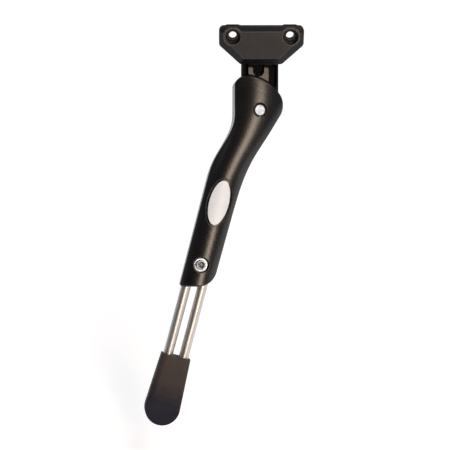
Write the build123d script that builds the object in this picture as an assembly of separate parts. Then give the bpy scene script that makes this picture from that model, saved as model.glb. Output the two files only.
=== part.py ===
"""Rear-mount bicycle kickstand with a two-bolt plate, a swinging leg and a length-adjustable foot.

All sizes are in millimetres. The origin is the centre of the two bolt holes on the mounting face,
+Y points into the bicycle frame, +Z is up, and the leg is drawn folded out.
The leg is drawn in its own frame: x across, y up along the neck, z along the pivot towards the viewer.
The shank frame lies in the leg frame: x across the shank, y up along it.
"""

import os
from math import cos, radians, sin

from build123d import *

# mounting plate
HOLE_SPACING = 40.0
HOLE_R = 2.75
COUNTERBORE_R = 5.5
COUNTERBORE_DEPTH = 5.0
BOSS_WALL = 1.1
PLATE_HALF_WIDTH = 29.6
PLATE_TOP = 6.6
PLATE_SIDE_LOW = -6.4
PLATE_BOTTOM = -20.1
PLATE_BOTTOM_HALF = 14.6
PLATE_THICK = 8.0
PLATE_CORNER = 3.4
BEVEL_SIDE = 3.2
BEVEL_TOP = 3.0
BEVEL_LOW = 5.0
BEVEL_DEPTH = 3.4
FACE_SIDE_LOW = -0.7
FACE_BOTTOM_HALF = 12.6
FACE_CORNER = 1.6
PAD_THICK = 2.5
PAD_WIDTH = 13.0
PAD_LOW = -8.0

# pivot position and angles
PIVOT = (-2.2, -17.1, -51.7)
LEAN = 25.0
TOE = 8.0
STOW = 105.0

# tongue and pivot
HUB_R = 12.8
TONGUE_HALF = 3.5
TONGUE_TOP = 47.0
NECK_SHIFT = 1.4
NECK_LOW = 2.0
PIN_R = 4.0
BUSH_R = 5.5
RUN = 0.05
WASHER_T = 0.8
WASHER_R = HUB_R - 1.8
SLOT_HALF = TONGUE_HALF + WASHER_T + RUN
STOP_GAP = 0.15
POCKET_DEPTH = 3.6
POCKET_HALF = 4.0
POCKET_LOW = 24.4
POCKET_RIGHT_LOW = 17.2
RIB_WIDTH = 3.2
RIM_WIDTH = 1.2
NOTCH_R = 2.2
NOTCH_DEPTH = 0.8
DETENT_ANGLE = -110.0

# pivot pin and snap ring
PIN_FACE = 9.3
PIN_SEAT = 7.6
PIN_RECESS_R = 5.1
PIN_HEAD_R = 6.5
PIN_HEAD_T = 2.2
PIN_BACK = -9.2
RING_T = 0.9
RING_R = 4.75
GROOVE_R = 3.6

# detent leaf
LEAF_T = 0.9
LEAF_HALF_W = 3.4
LEAF_REACH = 11.0
LEAF_GAP = 0.25
BUMP_R = 2.0
LEAF_SINK = 1.6

# hip screw
HIP_AT = (-14.0, -30.5)
HIP_R = 1.8
HIP_HEAD_R = 3.5
HIP_HEAD_T = 2.2
HIP_SEAT = -4.5
HIP_END = 6.0

# shank and tubes
TILT = 15.0
SHANK_OFFSET = 10.85
TUBE_SHIFT = -0.9
TUBE_R = 3.5
TUBE_WALL = 1.0
TUBE_PITCH = 11.2
TUBE_TOP = 81.0
TUBE_LENGTH = 129.0
TUBE_FIT = 0.1
CHANNEL_TOP = 46.0
LAND_TOP = 113.0
SLIT_TOP = 98.0
SLIT_HALF = 0.2
BAR_T = 2.5

# clamp screw
CLAMP_S = 115.4
SCREW_R = 2.0
SCREW_SEAT = 4.7
CLAMP_WASHER_T = 0.8
CLAMP_WASHER_R = 4.6
SCREW_HEAD_R = 3.5
SCREW_HEAD_T = 2.8
SCREW_KEY = 3.0
SCREW_RECESS_R = 5.5
NUT_FLATS = 7.0
NUT_T = 3.2

# oval badge
BADGE_S = 70.3
BADGE_LONG = 15.8
BADGE_SHORT = 6.9
BADGE_RIM = 1.6
BADGE_SINK = 0.5
BADGE_T = 0.9

# foot
FOOT_HALF_TOP = 10.4
FOOT_HALF_LOW = 12.4
FOOT_LENGTH = 49.2
FOOT_HALF_T = 7.8
SOCKET_DEPTH = 28.6
FOOT_TOP = TUBE_TOP + TUBE_LENGTH - SOCKET_DEPTH
FOOT_EDGE_R = 4.5
SOLE_START = 28.0
SOLE_ANGLE = 10.0

# rounding where the leg's front and back meet its sides
RIM_R = 1.0

# stations of the leg's rounded section: x, y, turn, half width, half thickness
CROWN = [
    (-59.6, -180.8, 15.0, 12.1, 8.2),
    (-53.4, -157.6, 15.0, 12.3, 8.3),
    (-47.2, -134.4, 15.0, 12.5, 8.4),
    (-41.0, -111.2, 15.0, 12.7, 8.5),
    (-34.8, -88.0, 15.0, 13.0, 8.6),
    (-29.1, -66.7, 15.0, 13.3, 8.8),
    (-23.8, -48.2, 18.0, 13.7, 9.1),
    (-15.5, -30.5, 27.0, 14.4, 9.6),
    (-6.5, -12.5, 21.0, 17.2, 10.1),
    (-0.5, 6.5, 6.0, 21.0, 10.4),
    (0.0, 26.0, 0.0, 22.0, 10.3),
    (0.0, 45.0, 0.0, 22.0, 10.2),
]

# reach of cutting blocks, past every side of the part
BEYOND = 2 * (TUBE_TOP + TUBE_LENGTH)

os.makedirs("parts", exist_ok=True)

b, d = radians(LEAN), radians(TOE)
LEG_X = (cos(d), cos(b) * sin(d), -sin(b) * sin(d))
LEG_Z = (sin(d), -cos(b) * cos(d), sin(b) * cos(d))
LEG = Plane(origin=PIVOT, x_dir=LEG_X, z_dir=LEG_Z).location
a = radians(TILT)
SHANK = Pos(-SHANK_OFFSET * cos(a), SHANK_OFFSET * sin(a), 0) * Rot(0, 0, -TILT)


def save(name, shape):
    """Writes one node's STEP file."""
    export_step(shape, f"parts/{name}.step")


def in_shank(x, s):
    """Leg-frame point of a shank point x across and s down from the pivot's level."""
    p = SHANK * Pos(x, -s, 0)
    return (p.position.X, p.position.Y)


def drum(radius, low, high):
    """Cylinder on the local z axis from low to high."""
    return Pos(0, 0, low) * Cylinder(radius, high - low, align=(Align.CENTER, Align.CENTER, Align.MIN))


def box(x0, x1, y0, y1, z0, z1):
    """Block between two corners."""
    return Pos((x0 + x1) / 2, (y0 + y1) / 2, (z0 + z1) / 2) * Box(x1 - x0, y1 - y0, z1 - z0)


def slab(face, low, high):
    """Extrusion of a flat face from low to high along z."""
    return Pos(0, 0, low) * extrude(face, high - low)


def along_shank(face, top, bottom):
    """Extrusion down the shank of a section drawn in x and z, from s = top to s = bottom."""
    return SHANK * Pos(0, -top, 0) * Rot(90, 0, 0) * extrude(face, bottom - top)


def crown(sink):
    """Rounded leg solid through the stations, with its thickness reduced by sink."""
    rings = []
    for x, y, turn, wide, thick in CROWN:
        t = radians(turn)
        ring = Plane(origin=(x, y, 0), x_dir=(cos(t), -sin(t), 0), z_dir=(-sin(t), -cos(t), 0))
        rings.append(ring * Ellipse(wide, thick - sink))
    return loft(rings)


def leg_outline():
    """Silhouette of the leg seen along the pivot."""
    top = (-8.0, 23.9)
    left_high = (-17.4, 18.0)
    left_low = (-17.4, -2.0)
    hip_left = (-36.3, -47.5)
    heel_left = in_shank(-11.4, 131.4)
    toe_left = in_shank(-9.4, 133.3)
    toe_mid = in_shank(0, 130.7)
    toe_right = in_shank(11.4, 118.5)
    hip_right = in_shank(11.9, 76.0)
    bulge_low = (15.6, -3.0)
    bulge_high = (14.5, 11.8)
    shank_down = (-sin(a), -cos(a))
    edges = [
        ThreePointArc(top, (-14.8, 22.3), left_high),
        Line(left_high, left_low),
        Spline(left_low, (-21.6, -17.3), (-29.2, -30.2), hip_left, tangents=[(0, -1), (-0.26, -0.97)]),
        Line(hip_left, heel_left),
        ThreePointArc(heel_left, in_shank(-10.8, 132.8), toe_left),
        Line(toe_left, toe_mid),
        ThreePointArc(toe_mid, in_shank(8.0, 126.2), toe_right),
        Line(toe_right, hip_right),
        Spline(hip_right, (-3.9, -33.9), (7.0, -16.8), bulge_low, tangents=[(0.28, 0.96), (0.55, 0.84)]),
        ThreePointArc(bulge_low, (17.4, 4.2), bulge_high),
        ThreePointArc(bulge_high, (4.2, 19.9), top),
    ]
    return make_face(Wire(edges))


# mount bracket: bevelled plate, pads behind it, and the tongue that carries the pivot

def six_corners(half_top, top, side_low, half_bottom, bottom, corner):
    """Symmetric six-cornered face with rounded corners, x across and y up."""
    half = [(half_top, top), (half_top, side_low), (half_bottom, bottom)]
    points = half + [(-x, y) for x, y in reversed(half)]
    face = make_face(Polyline(*points, close=True))
    return fillet(face.vertices(), corner)


def pocket(x0, x1, bottom):
    """Cored pocket in the neck's front with a round bottom."""
    r = (x1 - x0) / 2
    slot = Pos((x0 + x1) / 2, bottom + r) * Circle(r)
    slot += Pos((x0 + x1) / 2, (bottom + r + TONGUE_TOP) / 2) * Rectangle(x1 - x0, TONGUE_TOP - bottom - r)
    return slab(slot, TONGUE_HALF - POCKET_DEPTH, TONGUE_HALF + 1)


FRONT = Plane(origin=(0, 0, 0), x_dir=(1, 0, 0), z_dir=(0, -1, 0)).location
PLATE_FRONT = PAD_THICK + PLATE_THICK
plate_face = six_corners(
    PLATE_HALF_WIDTH, PLATE_TOP, PLATE_SIDE_LOW, PLATE_BOTTOM_HALF, PLATE_BOTTOM, PLATE_CORNER
)
panel_face = six_corners(
    PLATE_HALF_WIDTH - BEVEL_SIDE, PLATE_TOP - BEVEL_TOP, FACE_SIDE_LOW,
    FACE_BOTTOM_HALF, PLATE_BOTTOM + BEVEL_LOW, FACE_CORNER,
)
plate = slab(plate_face, PAD_THICK, PLATE_FRONT - BEVEL_DEPTH)
plate += loft([Pos(0, 0, PLATE_FRONT - BEVEL_DEPTH) * plate_face, Pos(0, 0, PLATE_FRONT) * panel_face], ruled=True)
for side in (-1, 1):
    boss = Pos(side * HOLE_SPACING / 2, 0, 0) * drum(COUNTERBORE_R + BOSS_WALL, PAD_THICK, PLATE_FRONT)
    plate += boss & slab(plate_face, PAD_THICK, PLATE_FRONT)
for side in (-1, 1):
    pad = RectangleRounded(PAD_WIDTH, PLATE_TOP - PAD_LOW, 3.0)
    plate += Pos(side * HOLE_SPACING / 2, (PLATE_TOP + PAD_LOW) / 2) * slab(pad, 0, PAD_THICK)

tongue = drum(HUB_R, -TONGUE_HALF, TONGUE_HALF)
neck_left = NECK_SHIFT - HUB_R
neck_right = NECK_SHIFT + HUB_R
tongue += box(neck_left, neck_right, NECK_LOW, TONGUE_TOP, -TONGUE_HALF, TONGUE_HALF)
tongue -= pocket(-POCKET_HALF, POCKET_HALF, POCKET_LOW)
tongue -= pocket(neck_left + RIM_WIDTH, -POCKET_HALF - RIB_WIDTH, POCKET_LOW)
tongue -= pocket(POCKET_HALF + RIB_WIDTH, neck_right - RIM_WIDTH, POCKET_RIGHT_LOW)
for turn in (DETENT_ANGLE, DETENT_ANGLE + STOW):
    reach = HUB_R + NOTCH_R - NOTCH_DEPTH
    tongue -= Rot(0, 0, turn) * Pos(reach, 0, 0) * drum(NOTCH_R, -TONGUE_HALF, TONGUE_HALF)
# room beside the neck for the leaf when the leg is folded
leaf_side = box(HUB_R, BEYOND, -LEAF_REACH - LEAF_GAP, LEAF_REACH + LEAF_GAP, -TONGUE_HALF, TONGUE_HALF)
tongue -= Rot(0, 0, DETENT_ANGLE + STOW) * leaf_side
tongue = LEG * tongue
tongue -= box(-BEYOND, BEYOND, 0, BEYOND, -BEYOND, BEYOND)

bracket = FRONT * plate + tongue
bracket -= LEG * drum(BUSH_R, -TONGUE_HALF - 1, TONGUE_HALF + 1)
for side in (-1, 1):
    hole = drum(HOLE_R, -1, 30)
    hole += drum(COUNTERBORE_R, PLATE_FRONT - COUNTERBORE_DEPTH, 30)
    bracket -= FRONT * Pos(side * HOLE_SPACING / 2, 0, 0) * hole
save("mount_bracket", bracket)

# pivot: bush in the tongue, thrust washers, pin and snap ring
save("pivot_bush", LEG * (drum(BUSH_R, -TONGUE_HALF, TONGUE_HALF) - drum(PIN_R + RUN, -9, 9)))
ring = drum(WASHER_R, SLOT_HALF - WASHER_T, SLOT_HALF) - drum(PIN_R + 0.2, 0, 9)
save("front_thrust_washer", LEG * ring)
save("rear_thrust_washer", LEG * mirror(ring, Plane.XY))

pin = drum(PIN_R, PIN_BACK, PIN_FACE)
pin = chamfer(pin.edges().sort_by(Axis.Z)[-1], 0.5)
pin += drum(PIN_HEAD_R, PIN_BACK, PIN_BACK + PIN_HEAD_T)
groove = drum(PIN_R + 1, PIN_SEAT, PIN_SEAT + RING_T) - drum(GROOVE_R, 0, 20)
pin -= groove
save("pivot_pin", LEG * pin)
snap = drum(RING_R, PIN_SEAT, PIN_SEAT + RING_T) - drum(GROOVE_R, 0, 20)
snap -= box(-0.8, 0.8, -9, 0, 0, 20)
save("pivot_snap_ring", LEG * snap)

# leg: two half shells on the pivot plane
outline = leg_outline()
full = crown(0)
stop_dir = radians(-STOW)
wall = STOP_GAP - neck_left
shelf = neck_right + STOP_GAP
floor_point = (shelf * cos(stop_dir), shelf * sin(stop_dir))
floor_far = (floor_point[0] - 60 * sin(stop_dir), floor_point[1] + 60 * cos(stop_dir))
swing = make_face(
    Polyline((0, 0), (-wall, 0), (-wall, 60), (60, 60), floor_far, floor_point, close=True)
)
slot = slab(swing, -SLOT_HALF, SLOT_HALF)
slot += drum(HUB_R + 0.4, -SLOT_HALF, SLOT_HALF)

pair = Pos(TUBE_SHIFT, 0) * (
    Pos(-TUBE_PITCH / 2, 0) * Circle(TUBE_R + TUBE_FIT) + Pos(TUBE_PITCH / 2, 0) * Circle(TUBE_R + TUBE_FIT)
)
both = pair + Pos(TUBE_SHIFT, 0) * Rectangle(TUBE_PITCH, 2 * (TUBE_R + TUBE_FIT))
channel = along_shank(both, CHANNEL_TOP, LAND_TOP) + along_shank(pair, LAND_TOP - 1, TUBE_TOP + TUBE_LENGTH)
slit = SHANK * box(-BEYOND, BEYOND, -BEYOND, -SLIT_TOP, -SLIT_HALF, SLIT_HALF)
clamp_at = SHANK * Pos(TUBE_SHIFT, -CLAMP_S, 0)
clamp_hole = clamp_at * (drum(SCREW_R + 0.2, -20, 20) + drum(SCREW_RECESS_R, SCREW_SEAT, 20))
nut_pocket = RegularPolygon(NUT_FLATS / 2, 6, major_radius=False)
clamp_hole += clamp_at * slab(nut_pocket, -20, -SCREW_SEAT)

pin_hole = drum(PIN_R, -20, 20) + drum(PIN_RECESS_R, PIN_SEAT, 20)
pin_hole += drum(PIN_HEAD_R, -20, PIN_BACK + PIN_HEAD_T)

# detent leaf under the hub
leaf_at = Rot(0, 0, DETENT_ANGLE)
leaf_near = HUB_R + LEAF_GAP
leaf = box(leaf_near, leaf_near + LEAF_T, -LEAF_REACH, LEAF_REACH, -LEAF_HALF_W, LEAF_HALF_W)
bump = Pos(HUB_R - NOTCH_DEPTH + RUN + BUMP_R, 0, 0) * drum(BUMP_R, -LEAF_HALF_W, LEAF_HALF_W)
leaf += bump & box(0, leaf_near + LEAF_T, -9, 9, -9, 9)
save("detent_leaf", LEG * leaf_at * leaf)
leaf_room = box(leaf_near, leaf_near + LEAF_T, -LEAF_REACH, LEAF_REACH, -LEAF_HALF_W, LEAF_HALF_W)
leaf_room += box(HUB_R - 2, leaf_near + LEAF_T + LEAF_SINK, -LEAF_REACH + 2, LEAF_REACH - 2, -LEAF_HALF_W, LEAF_HALF_W)
leaf_room = leaf_at * leaf_room

# hip screw from the back
hip_shank = drum(HIP_R, HIP_SEAT, HIP_END)
hip_head = drum(HIP_HEAD_R, HIP_SEAT - HIP_HEAD_T, HIP_SEAT)
hip_key = slab(RegularPolygon(1.25, 6, major_radius=False), HIP_SEAT - HIP_HEAD_T, HIP_SEAT - HIP_HEAD_T + 1.4)
save("hip_screw", LEG * Pos(*HIP_AT, 0) * (hip_shank + hip_head - hip_key))
hip_hole = Pos(*HIP_AT, 0) * (drum(HIP_R, -20, HIP_END) + drum(HIP_HEAD_R + 0.4, -20, HIP_SEAT))

# badge in its sunk oval
oval = SHANK * Pos(0, -BADGE_S, 0) * Ellipse(BADGE_SHORT, BADGE_LONG)
oval_rim = SHANK * Pos(0, -BADGE_S, 0) * Ellipse(BADGE_SHORT + BADGE_RIM, BADGE_LONG + BADGE_RIM)
sunk = crown(BADGE_SINK + BADGE_T)
badge_room = slab(oval_rim, 2, 20) - sunk
badge = (slab(oval, 2, 20) & crown(BADGE_SINK)) - sunk
save("badge", LEG * badge)

skin = full & slab(outline, -BEYOND, BEYOND)
skin = fillet([e for e in skin.edges() if abs(e.center().Z) > 0.5], RIM_R)
body = skin - slot - channel - slit - clamp_hole - pin_hole - leaf_room - hip_hole
front_shell = (body & box(-BEYOND, BEYOND, -BEYOND, BEYOND, 0, BEYOND)) - badge_room
rear_shell = body & box(-BEYOND, BEYOND, -BEYOND, BEYOND, -BEYOND, 0)
save("front_shell", LEG * front_shell)
save("rear_shell", LEG * rear_shell)

# clamp screw, washer and nut
screw = drum(SCREW_R, -SCREW_SEAT - NUT_T, SCREW_SEAT + CLAMP_WASHER_T)
screw_top = SCREW_SEAT + CLAMP_WASHER_T + SCREW_HEAD_T
head = drum(SCREW_HEAD_R, SCREW_SEAT + CLAMP_WASHER_T, screw_top)
head = fillet(head.edges().sort_by(Axis.Z)[-1], 0.4)
key = slab(RegularPolygon(SCREW_KEY / 2, 6, major_radius=False), screw_top - 1.7, screw_top)
save("clamp_screw", LEG * clamp_at * (screw + head - key))
disc = drum(CLAMP_WASHER_R, SCREW_SEAT, SCREW_SEAT + CLAMP_WASHER_T) - drum(SCREW_R + 0.15, 0, 20)
save("clamp_washer", LEG * clamp_at * disc)
nut = slab(nut_pocket, -SCREW_SEAT - NUT_T, -SCREW_SEAT) - drum(SCREW_R + RUN, -20, 0)
save("clamp_nut", LEG * clamp_at * nut)

# extension: two tubes, the bar that joins their tops, and the foot
for name, side in (("left_tube", -1), ("right_tube", 1)):
    section = Pos(TUBE_SHIFT + side * TUBE_PITCH / 2, 0) * (Circle(TUBE_R) - Circle(TUBE_R - TUBE_WALL))
    save(name, LEG * along_shank(section, TUBE_TOP, TUBE_TOP + TUBE_LENGTH))
caps = Pos(TUBE_SHIFT, 0) * SlotCenterToCenter(TUBE_PITCH, 2 * TUBE_R - 0.2)
bar = along_shank(caps, TUBE_TOP - BAR_T, TUBE_TOP)
for side in (-1, 1):
    spigot = Pos(TUBE_SHIFT + side * TUBE_PITCH / 2, 0) * Circle(TUBE_R - TUBE_WALL)
    bar += along_shank(spigot, TUBE_TOP, TUBE_TOP + 7)
save("tube_bar", LEG * bar)

low = FOOT_TOP + FOOT_LENGTH - FOOT_HALF_LOW
foot_edges = [
    Line((-FOOT_HALF_TOP, -FOOT_TOP), (-FOOT_HALF_LOW, -low)),
    ThreePointArc((-FOOT_HALF_LOW, -low), (0, -low - FOOT_HALF_LOW), (FOOT_HALF_LOW, -low)),
    Line((FOOT_HALF_LOW, -low), (FOOT_HALF_TOP, -FOOT_TOP)),
    Line((FOOT_HALF_TOP, -FOOT_TOP), (-FOOT_HALF_TOP, -FOOT_TOP)),
]
foot = slab(make_face(Wire(foot_edges)), -FOOT_HALF_T, FOOT_HALF_T)
long_edges = [e for e in foot.edges() if abs(abs(e.center().Z) - FOOT_HALF_T) < 0.01 and e.center().Y < -FOOT_TOP - 1]
foot = fillet(long_edges, FOOT_EDGE_R)
sole = Pos(0, -FOOT_TOP - SOLE_START, FOOT_HALF_T) * Rot(SOLE_ANGLE, 0, 0) * box(-20, 20, -40, 0, 0, 20)
foot -= sole
foot = Pos(TUBE_SHIFT, 0, 0) * foot
foot = SHANK * foot
socket = Pos(TUBE_SHIFT, 0) * (
    Pos(-TUBE_PITCH / 2, 0) * Circle(TUBE_R) + Pos(TUBE_PITCH / 2, 0) * Circle(TUBE_R)
)
foot -= along_shank(socket, FOOT_TOP - 1, FOOT_TOP + SOCKET_DEPTH)
foot -= along_shank(Pos(TUBE_SHIFT, 0) * Rectangle(TUBE_PITCH, 5.0), FOOT_TOP - 1, FOOT_TOP + 5)
save("foot", LEG * foot)
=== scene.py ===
import bpy
import numpy as np
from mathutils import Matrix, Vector


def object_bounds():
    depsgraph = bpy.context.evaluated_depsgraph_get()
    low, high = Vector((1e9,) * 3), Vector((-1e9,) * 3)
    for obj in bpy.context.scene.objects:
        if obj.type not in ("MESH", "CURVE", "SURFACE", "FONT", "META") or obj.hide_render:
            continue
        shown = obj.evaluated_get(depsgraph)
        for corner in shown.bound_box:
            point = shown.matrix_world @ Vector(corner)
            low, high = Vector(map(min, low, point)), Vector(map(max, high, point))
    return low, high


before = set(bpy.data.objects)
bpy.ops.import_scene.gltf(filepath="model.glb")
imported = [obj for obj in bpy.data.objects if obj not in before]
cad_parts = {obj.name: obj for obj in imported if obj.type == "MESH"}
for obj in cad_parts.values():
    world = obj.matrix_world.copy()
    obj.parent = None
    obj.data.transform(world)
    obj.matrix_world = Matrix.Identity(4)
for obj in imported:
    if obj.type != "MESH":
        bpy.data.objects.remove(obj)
cad_low, cad_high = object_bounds()

# The leg's frame, in metres: its pivot, the normal of its front, the ways across and up it, and the way
# down its shank.
PIVOT = Vector((-0.0022, -0.0171, -0.0517))
LEG_FRONT = Vector((0.139173, -0.897488, 0.418505))
LEG_ACROSS = Vector((0.990268, 0.126133, -0.058817))
LEG_UP = Vector((0.0, 0.422618, 0.906308))
SHANK_DOWN = Vector((-0.2563, -0.440864, -0.860203))

# Where the casting's tone changes, in metres; these changes are painted light and shade. Each pair runs from
# none of a tone to all of it.
PLATE_FACE = (-0.0101, -0.01035)         # y, up to the plate's front face
NECK_HEIGHT = (0.004, 0.0037)            # height along LEG_FRONT, below which the neck lies
RIB_HEIGHT = (0.0028, 0.0034)            # the same height, from the pockets to the ribs' faces at 3.5 mm
RIB_REACH = (0.0086, 0.0078)             # distance from the middle, along LEG_ACROSS, within which ribs lie
PLATE_SHADOW_BAND = (0.0312, 0.0306)            # distance along LEG_UP, from the dark band under the plate down
SEAM_MIDDLE = (-0.01245, -0.01241, 0.0)  # middle of the head's round seam, across and up
SEAM_SHADE_BAND = (0.0383, 0.0389)             # distance from it, from the dark band along the seam outwards

# Distance from the pivot along the shank over which the foot's rubber changes colour, in metres: painted
# light, warm above and cool below.
FOOT_LIGHT_CHANGE = (0.182, 0.235)

# Values between which most of a noise lies.
SPREAD = (0.3, 0.7)


def linear(hex_colour):
    """sRGB hex to linear RGBA: c/12.92 up to 0.04045, and ((c + 0.055)/1.055)^2.4 above."""
    c = np.array([int(hex_colour[i:i + 2], 16) for i in (1, 3, 5)]) / 255
    low = c / 12.92
    high = ((c + 0.055) / 1.055) ** 2.4
    return (*np.where(c <= 0.04045, low, high).tolist(), 1.0)


def per_mm(size):
    """Texture scale, in cells to a metre, of a pattern whose cells are this many millimetres wide."""
    return 1000 / size


def add(tree, kind, values=None, links=None, **settings):
    """Adds a node with these properties and socket values, and links its sockets to the sources in links."""
    n = tree.nodes.new(kind)
    for key, value in settings.items():
        setattr(n, key, value)
    for key, value in (values or {}).items():
        n.inputs[key].default_value = value
    for key, source in (links or {}).items():
        tree.links.new(source, n.inputs[key])
    return n


def new_finish(name):
    """An empty material, as (material, tree, output, Object coordinates)."""
    m = bpy.data.materials.new(name)
    m.use_nodes = True
    t = m.node_tree
    t.nodes.clear()
    out = add(t, "ShaderNodeOutputMaterial")
    coords = add(t, "ShaderNodeTexCoord").outputs["Object"]
    return m, t, out, coords


def ramp(tree, source, stops):
    """Colour ramp through (position, hex colour) stops, fed by source."""
    n = add(tree, "ShaderNodeValToRGB", links={"Fac": source})
    e = n.color_ramp.elements
    while len(e) < len(stops):
        e.new(0.5)
    for item, (place, colour) in zip(e, stops):
        item.position = place
        item.color = linear(colour)
    return n.outputs["Color"]


def noise(tree, source, size, detail, **values):
    """Noise whose cells are size millimetres wide."""
    values = {"Scale": per_mm(size), "Detail": detail, **values}
    return add(tree, "ShaderNodeTexNoise", values, {"Vector": source}).outputs["Fac"]


def fade(tree, source, start, end, low=0.0, high=1.0):
    """low + (high - low) (source - start) / (end - start), held between low and high."""
    values = {"From Min": start, "From Max": end, "To Min": low, "To Max": high}
    return add(tree, "ShaderNodeMapRange", values, {"Value": source}).outputs[0]


def joined(tree, operation, a, b):
    """One operation on two numbers."""
    return add(tree, "ShaderNodeMath", links={0: a, 1: b}, operation=operation).outputs[0]


def along(tree, source, axis):
    """Component of source along axis."""
    n = add(tree, "ShaderNodeVectorMath", {1: tuple(axis)}, {0: source}, operation="DOT_PRODUCT")
    return n.outputs["Value"]


def measured_from(tree, source, place):
    """Vector from place to source."""
    n = add(tree, "ShaderNodeVectorMath", {1: tuple(place)}, {0: source}, operation="SUBTRACT")
    return n.outputs[0]


def blended(tree, share, first, second):
    """Colour that goes from first to second as share goes from 0 to 1."""
    links = {0: share, 6: first, 7: second}
    return add(tree, "ShaderNodeMix", links=links, data_type="RGBA").outputs[2]


def rounded(tree, radius):
    """Normal rounded over the edges, by a radius in metres."""
    return add(tree, "ShaderNodeBevel", {"Radius": radius}, samples=8).outputs[0]


def powder_coated_casting():
    """Die-cast aluminium under a matt charcoal powder coat, with an even, fine orange-peel grain.

    The plate's bevels and the insides of its counterbores are painted darker and bluer than its front face, as
    painted shade. On the neck, the coat is dull and painted black in the cored pockets, as painted shade, and
    painted pale on the ribs, as painted light, apart from a painted shadow in a band under the plate and
    painted shade in a band along the head's seam. Edges of the plate, where the rounded normal leaves the true
    one, carry a pale painted highlight."""
    m, t, out, co = new_finish("powder_coated_die_cast_aluminium")
    # The grain is about 0.3 mm across on the real coat and drawn at 0.8 mm, so that it shows.
    grain = noise(t, co, 0.8, 3.0, Roughness=0.6)
    cloud = noise(t, co, 9, 4.0)
    mixed = joined(t, "ADD", grain, cloud)
    mottle = add(t, "ShaderNodeMath", {1: 0.5}, {0: mixed}, operation="MULTIPLY").outputs[0]
    # The front face keeps the coat's tone; the darker, bluer tone behind it, on the bevels and in the
    # counterbores, is painted shade.
    coat_tone = ramp(t, mottle, [(0.3, "#272626"), (0.5, "#312f2f"), (0.7, "#3d3b3a")])
    painted_bevel_shade = ramp(t, mottle, [(0.3, "#0a0b12"), (0.5, "#0e1018"), (0.7, "#14151e")])
    depth = add(t, "ShaderNodeSeparateXYZ", links={0: co}).outputs["Y"]
    coat_with_painted_shade = blended(t, fade(t, depth, *PLATE_FACE), painted_bevel_shade, coat_tone)

    # Paler where the rounded normal leaves the true one: a painted highlight along the plate's edges.
    edge_normal = rounded(t, 0.0009)
    true = add(t, "ShaderNodeNewGeometry").outputs["Normal"]
    bend = add(t, "ShaderNodeVectorMath", links={0: edge_normal, 1: true}, operation="DOT_PRODUCT").outputs["Value"]
    edge_highlight_share = fade(t, bend, 0.995, 0.95, 0.0, 0.8)
    plate_colour = add(t, "ShaderNodeMix", {7: linear("#756d66")}, {0: edge_highlight_share, 6: coat_with_painted_shade}, data_type="RGBA")

    from_pivot = measured_from(t, co, PIVOT)
    height = along(t, from_pivot, LEG_FRONT)
    up = along(t, from_pivot, LEG_UP)
    across = along(t, from_pivot, LEG_ACROSS)
    wide = add(t, "ShaderNodeMath", links={0: across}, operation="ABSOLUTE").outputs[0]
    flat = add(t, "ShaderNodeCombineXYZ", links={0: across, 1: up}).outputs[0]
    seam = add(t, "ShaderNodeVectorMath", {1: SEAM_MIDDLE}, {0: flat}, operation="DISTANCE").outputs["Value"]
    # Painted light on the ribs; painted shade in the pockets, and in a band under the plate and a band along
    # the head's seam.
    painted_rib_light = fade(t, height, *RIB_HEIGHT)
    for mask in (fade(t, wide, *RIB_REACH), fade(t, up, *PLATE_SHADOW_BAND), fade(t, seam, *SEAM_SHADE_BAND)):
        painted_rib_light = joined(t, "MULTIPLY", painted_rib_light, mask)
    neck = fade(t, height, *NECK_HEIGHT)
    neck_painted_light_and_shade = ramp(t, painted_rib_light, [(0.0, "#090809"), (0.9, "#0d0c0c"), (1.0, "#746b66")])
    colour = blended(t, neck, plate_colour.outputs[2], neck_painted_light_and_shade)

    coat = fade(t, cloud, *SPREAD, 0.44, 0.54)
    dull = joined(t, "MULTIPLY", fade(t, painted_rib_light, 0.0, 1.0, 0.45, 0.0), neck)
    rough = joined(t, "ADD", coat, dull)
    bump = add(t, "ShaderNodeBump", {"Strength": 0.3, "Distance": 0.0002},
               {"Height": grain, "Normal": rounded(t, 0.0005)})
    bsdf = add(t, "ShaderNodeBsdfPrincipled", {"IOR": 1.5, "Specular IOR Level": 0.25},
               {"Base Color": colour, "Roughness": rough, "Normal": bump.outputs[0]})
    t.links.new(bsdf.outputs[0], out.inputs["Surface"])
    return m


def moulded_nylon():
    """Glass-filled nylon moulding with a satin spark-eroded skin: near black, with a broad soft highlight."""
    m, t, out, co = new_finish("satin_glass_filled_nylon")
    # The mould's texture is about 0.2 mm across and drawn at 0.7 mm, so that it shows.
    grain = noise(t, co, 0.7, 2.0)
    cloud = noise(t, co, 14, 3.0)
    colour = ramp(t, cloud, [(0.3, "#131214"), (0.7, "#19181a")])
    rough = fade(t, grain, *SPREAD, 0.25, 0.28)
    bump = add(t, "ShaderNodeBump", {"Strength": 0.02, "Distance": 0.0001},
               {"Height": grain, "Normal": rounded(t, 0.0006)})
    bsdf = add(t, "ShaderNodeBsdfPrincipled", {"IOR": 1.53, "Specular IOR Level": 0.48},
               {"Base Color": colour, "Roughness": rough, "Normal": bump.outputs[0]})
    t.links.new(bsdf.outputs[0], out.inputs["Surface"])
    return m


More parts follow.
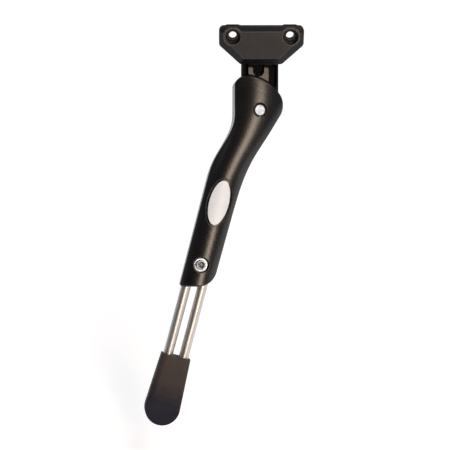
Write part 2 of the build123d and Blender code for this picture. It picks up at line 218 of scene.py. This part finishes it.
def turned_steel(name, light, dark, roughness, centre, relief, shade_radius=-1.0):
    """Steel turned on a lathe and plated: mottled plating over tool rings round centre.

    The rings are a wave of r = |p - centre|, the distance from a point on the turned face. A ball round
    centre, out to the given radius, is painted dark with a mottle of paler spots: painted shade in a screw's
    socket, with painted glints."""
    m, t, out, co = new_finish(name)
    from_centre = measured_from(t, co, centre)
    # A wave of scale s repeats every 2 pi / (20 s): real rings are about 0.1 mm apart and these 5.7 mm, as a
    # shallow dish that shows at the photograph's size.
    rings = add(t, "ShaderNodeTexWave", {"Scale": per_mm(18), "Distortion": 0.8, "Detail": 2.0},
                {"Vector": from_centre}, wave_type="RINGS", rings_direction="SPHERICAL").outputs["Fac"]
    blotch = noise(t, co, 2.2, 4.0)
    plated = ramp(t, blotch, [(0.35, dark), (0.65, light)])
    # Painted shade for the screw's socket, mottled with painted glints.
    painted_socket_shade = ramp(t, blotch, [(0.4, "#1a1b1d"), (0.65, "#6d747c")])
    away = add(t, "ShaderNodeVectorMath", links={0: from_centre}, operation="LENGTH").outputs["Value"]
    colour = blended(t, fade(t, away, shade_radius, shade_radius + 0.0002), painted_socket_shade, plated)
    rough = fade(t, blotch, *SPREAD, *roughness)
    bump = add(t, "ShaderNodeBump", {"Strength": relief, "Distance": 0.0001},
               {"Height": rings, "Normal": rounded(t, 0.0003)})
    bsdf = add(t, "ShaderNodeBsdfPrincipled", {"Metallic": 1.0},
               {"Base Color": colour, "Roughness": rough, "Normal": bump.outputs[0]})
    t.links.new(bsdf.outputs[0], out.inputs["Surface"])
    return m


def drawn_stainless():
    """Stainless tube drawn through a die: bright, with fine streaks along its length.

    Streaks come from noise in (side, front, 0.012 along), the coordinates across and along the shank."""
    m, t, out, co = new_finish("drawn_stainless_steel")
    side = SHANK_DOWN.cross(LEG_FRONT)
    axes = (side, LEG_FRONT, 0.012 * SHANK_DOWN)
    stretched = add(t, "ShaderNodeCombineXYZ", links={i: along(t, co, axis) for i, axis in enumerate(axes)})
    # Draw lines are about 0.1 mm wide and drawn at 0.5 mm, so that they show.
    streak = noise(t, stretched.outputs[0], 0.5, 3.0)
    colour = ramp(t, streak, [(0.3, "#bab8b6"), (0.7, "#d6d4d2")])
    rough = fade(t, streak, *SPREAD, 0.36, 0.46)
    bump = add(t, "ShaderNodeBump", {"Strength": 0.08, "Distance": 0.0001}, {"Height": streak})
    bsdf = add(t, "ShaderNodeBsdfPrincipled", {"Metallic": 1.0},
               {"Base Color": colour, "Roughness": rough, "Normal": bump.outputs[0]})
    t.links.new(bsdf.outputs[0], out.inputs["Surface"])
    return m


def moulded_rubber():
    """Carbon-filled rubber moulding: matt, painted brownish higher up and bluer towards the sole, as painted
    light that is warm above and cool below.
    """
    m, t, out, co = new_finish("carbon_filled_rubber")
    # Pores are about 0.2 mm across and drawn at 0.9 mm, so that they show.
    grain = noise(t, co, 0.9, 4.0)
    cloud = noise(t, co, 6, 4.0)
    # The cloud moves the change of colour by up to 3 mm either way.
    shift = add(t, "ShaderNodeMath", {1: 0.006, 2: -0.003}, {0: cloud}, operation="MULTIPLY_ADD").outputs[0]
    place = joined(t, "ADD", along(t, co, SHANK_DOWN), shift)
    start, end = (SHANK_DOWN.dot(PIVOT) + d for d in FOOT_LIGHT_CHANGE)
    # Painted light: warm brown higher up the foot, cool blue towards the sole.
    colour = ramp(t, fade(t, place, start, end),
                  [(0.0, "#463e3b"), (0.35, "#3c3534"), (0.6, "#1e1c2a"), (1.0, "#15152a")])
    rough = fade(t, cloud, *SPREAD, 0.55, 0.7)
    bump = add(t, "ShaderNodeBump", {"Strength": 0.3, "Distance": 0.0002}, {"Height": grain})
    bsdf = add(t, "ShaderNodeBsdfPrincipled", {"IOR": 1.52, "Specular IOR Level": 0.22},
               {"Base Color": colour, "Roughness": rough, "Normal": bump.outputs[0]})
    t.links.new(bsdf.outputs[0], out.inputs["Surface"])
    return m


def white_enamel():
    """Blank badge of white enamel under clear lacquer: satin, with a faint wave in the lacquer."""
    m, t, out, co = new_finish("white_enamel")
    cloud = noise(t, co, 4, 3.0)
    colour = ramp(t, cloud, [(0.3, "#ebf3ff"), (0.7, "#f0f7ff")])
    bump = add(t, "ShaderNodeBump", {"Strength": 0.05, "Distance": 0.0002}, {"Height": cloud})
    bsdf = add(t, "ShaderNodeBsdfPrincipled",
               {"Roughness": 0.45, "IOR": 1.5, "Coat Weight": 0.6, "Coat Roughness": 0.4},
               {"Base Color": colour, "Normal": bump.outputs[0]})
    t.links.new(bsdf.outputs[0], out.inputs["Surface"])
    return m


def sintered_bronze():
    """Oil-soaked sintered bronze: dull brown-gold with fine pores."""
    m, t, out, co = new_finish("sintered_bronze")
    # Pores are about 0.05 mm across and drawn at 0.5 mm, so that they show.
    pores = add(t, "ShaderNodeTexVoronoi", {"Scale": per_mm(0.5)}, {"Vector": co}).outputs["Distance"]
    colour = ramp(t, pores, [(0.05, "#5a4326"), (0.4, "#a8834d")])
    bump = add(t, "ShaderNodeBump", {"Strength": 0.2, "Distance": 0.0001}, {"Height": pores})
    bsdf = add(t, "ShaderNodeBsdfPrincipled", {"Metallic": 1.0, "Roughness": 0.45},
               {"Base Color": colour, "Normal": bump.outputs[0]})
    t.links.new(bsdf.outputs[0], out.inputs["Surface"])
    return m


def wear(finish, *names):
    """Puts a finish in every material slot of these CAD nodes."""
    for name in names:
        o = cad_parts[name]
        if not o.material_slots:
            o.data.materials.append(finish)
        for s in o.material_slots:
            s.material = finish


wear(powder_coated_casting(), "mount_bracket")
wear(moulded_nylon(), "front_shell", "rear_shell", "tube_bar", "front_thrust_washer", "rear_thrust_washer")
wear(moulded_rubber(), "foot")
wear(drawn_stainless(), "left_tube", "right_tube")
wear(white_enamel(), "badge")
wear(sintered_bronze(), "pivot_bush")

# Middles of the pin's face and of the clamp screw's socket, and the radius of the painted shade in that
# socket.
PIN_FACE = PIVOT + 0.0093 * LEG_FRONT
CLAMP_SOCKET = Vector((-0.043016, -0.068122, -0.147544)) + 0.0068 * LEG_FRONT
SOCKET_SHADE_RADIUS = 0.0029
pin_steel = turned_steel("bright_zinc_plated_steel", "#a0abbc", "#68717d", (0.28, 0.42), PIN_FACE, 0.2)
washer_steel = turned_steel("zinc_plated_washer_steel", "#c4d6f0", "#8494ae", (0.25, 0.38), CLAMP_SOCKET, 0.04)
screw_steel = turned_steel("zinc_plated_screw_steel", "#989fa8", "#6a6f76", (0.28, 0.4), CLAMP_SOCKET, 0.03,
                           SOCKET_SHADE_RADIUS)
set_steel = turned_steel("zinc_plated_set_steel", "#97968f", "#6f6e6a", (0.28, 0.4), PIVOT, 0.03)
spring_steel = turned_steel("black_oxide_spring_steel", "#2b2b2d", "#1b1b1d", (0.3, 0.45), PIVOT, 0.04)
wear(pin_steel, "pivot_pin")
wear(washer_steel, "clamp_washer", "clamp_nut")
wear(screw_steel, "clamp_screw")
wear(set_steel, "hip_screw")
wear(spring_steel, "detent_leaf", "pivot_snap_ring")


def studio_floor(height, reach, rows=5):
    """Flat sheet z = height over a grid of (x, y) in [-reach, reach]^2."""
    u = np.linspace(-reach, reach, rows)
    x, y = np.meshgrid(u, u, indexing="ij")
    points = np.stack([x, y, np.full_like(x, height)], -1).reshape(-1, 3)
    i = np.arange(rows * rows).reshape(rows, rows)
    quads = np.stack([i[:-1, :-1], i[1:, :-1], i[1:, 1:], i[:-1, 1:]], -1).reshape(-1, 4)
    mesh = bpy.data.meshes.new("studio_floor")
    mesh.from_pydata(points.tolist(), [], quads.tolist())
    o = bpy.data.objects.new("studio_floor", mesh)
    bpy.context.scene.collection.objects.link(o)
    return o


def white_card():
    """White card: matt, and white to the camera and in mirrors while it still takes the object's shadow.

    The lift is 0.64 + 0.28 sqrt((r - 0.28) / 1.2), where r is the distance from the origin in metres and the
    root's inside is held between 0 and 1, because the lamps' light on the card falls off about that way."""
    m, t, out, co = new_finish("white_card")
    path = add(t, "ShaderNodeLightPath")
    seen = joined(t, "MAXIMUM", path.outputs["Is Camera Ray"], path.outputs["Is Glossy Ray"])
    seen = joined(t, "MAXIMUM", seen, path.outputs["Is Transmission Ray"])
    card = add(t, "ShaderNodeBsdfDiffuse", {"Color": linear("#e4e4e4")}).outputs[0]
    r = add(t, "ShaderNodeVectorMath", links={0: co}, operation="LENGTH").outputs["Value"]
    root = add(t, "ShaderNodeMath", links={0: fade(t, r, 0.28, 1.48)}, operation="SQRT").outputs[0]
    level = add(t, "ShaderNodeMath", {1: 0.28, 2: 0.64}, {0: root}, operation="MULTIPLY_ADD").outputs[0]
    lift = add(t, "ShaderNodeEmission", {"Color": linear("#ffffff")}, {"Strength": level}).outputs[0]
    both = add(t, "ShaderNodeAddShader", links={0: card, 1: lift}).outputs[0]
    surface = add(t, "ShaderNodeMixShader", links={"Fac": seen, 1: card, 2: both})
    t.links.new(surface.outputs[0], out.inputs["Surface"])
    return m


# The floor lies low enough for the foot with the tubes slid right out. Both are in metres.
FLOOR_DROP = 0.028
FLOOR_REACH = 40.0
floor = studio_floor(cad_low.z - FLOOR_DROP, FLOOR_REACH)
floor.data.materials.append(white_card())

# The room is pale and dim, and darker behind the camera, as in a studio with the photographer's side unlit.
TOWARDS_CAMERA = (0.0, -0.906, 0.423)
world = bpy.data.worlds.new("studio")
bpy.context.scene.world = world
world.use_nodes = True
sky = world.node_tree
sky.nodes.clear()
sky_out = add(sky, "ShaderNodeOutputWorld")
look = add(sky, "ShaderNodeTexCoord").outputs["Generated"]
shade = add(sky, "ShaderNodeMapRange", {"From Min": 0.3, "From Max": 0.9, "To Min": 0.18, "To Max": 0.03},
            {"Value": along(sky, look, TOWARDS_CAMERA)}, interpolation_type="SMOOTHSTEP")
room = add(sky, "ShaderNodeBackground", {"Color": linear("#dfe4f2")}, {"Strength": shade.outputs[0]})
sky.links.new(room.outputs[0], sky_out.inputs["Surface"])


def softbox(name, place, target, width, height, watts, colour):
    """Rectangular area lamp at place, facing target."""
    lamp = bpy.data.lights.new(name, "AREA")
    lamp.shape = "RECTANGLE"
    lamp.size = width
    lamp.size_y = height
    lamp.energy = watts
    lamp.color = linear(colour)[:3]
    o = bpy.data.objects.new(name, lamp)
    o.location = place
    o.rotation_euler = (Vector(target) - Vector(place)).to_track_quat("-Z", "Y").to_euler()
    bpy.context.scene.collection.objects.link(o)
    return o


MIDDLE = (-0.02, -0.06, -0.11)
softbox("key_softbox", (0.377, -0.984, 0.286), MIDDLE, 0.24, 0.65, 5.8, "#ffe8d0")
softbox("right_softbox", (0.5, -0.35, 0.92), MIDDLE, 0.6, 0.6, 5.4, "#fff8f0")
softbox("left_softbox", (-0.55, -0.3, 0.9), MIDDLE, 0.5, 0.5, 1.2, "#e6ecff")
softbox("left_card", (-0.82, 0.0, -0.03), MIDDLE, 0.9, 0.34, 0.2, "#eef1f8")

eye = Vector((-0.0254, -0.6402, 0.1500))
aim = Vector((-0.0254, -0.0511, -0.1247))
lens = bpy.data.cameras.new("photo_camera")
lens.lens = 73.2
lens.sensor_width = 36.0
lens.clip_start = 0.01
lens.clip_end = 100
camera = bpy.data.objects.new("photo_camera", lens)
camera.location = eye
camera.rotation_euler = (aim - eye).to_track_quat("-Z", "Y").to_euler()
bpy.context.scene.collection.objects.link(camera)
bpy.context.scene.camera = camera
bpy.context.scene.view_settings.view_transform = "Standard"
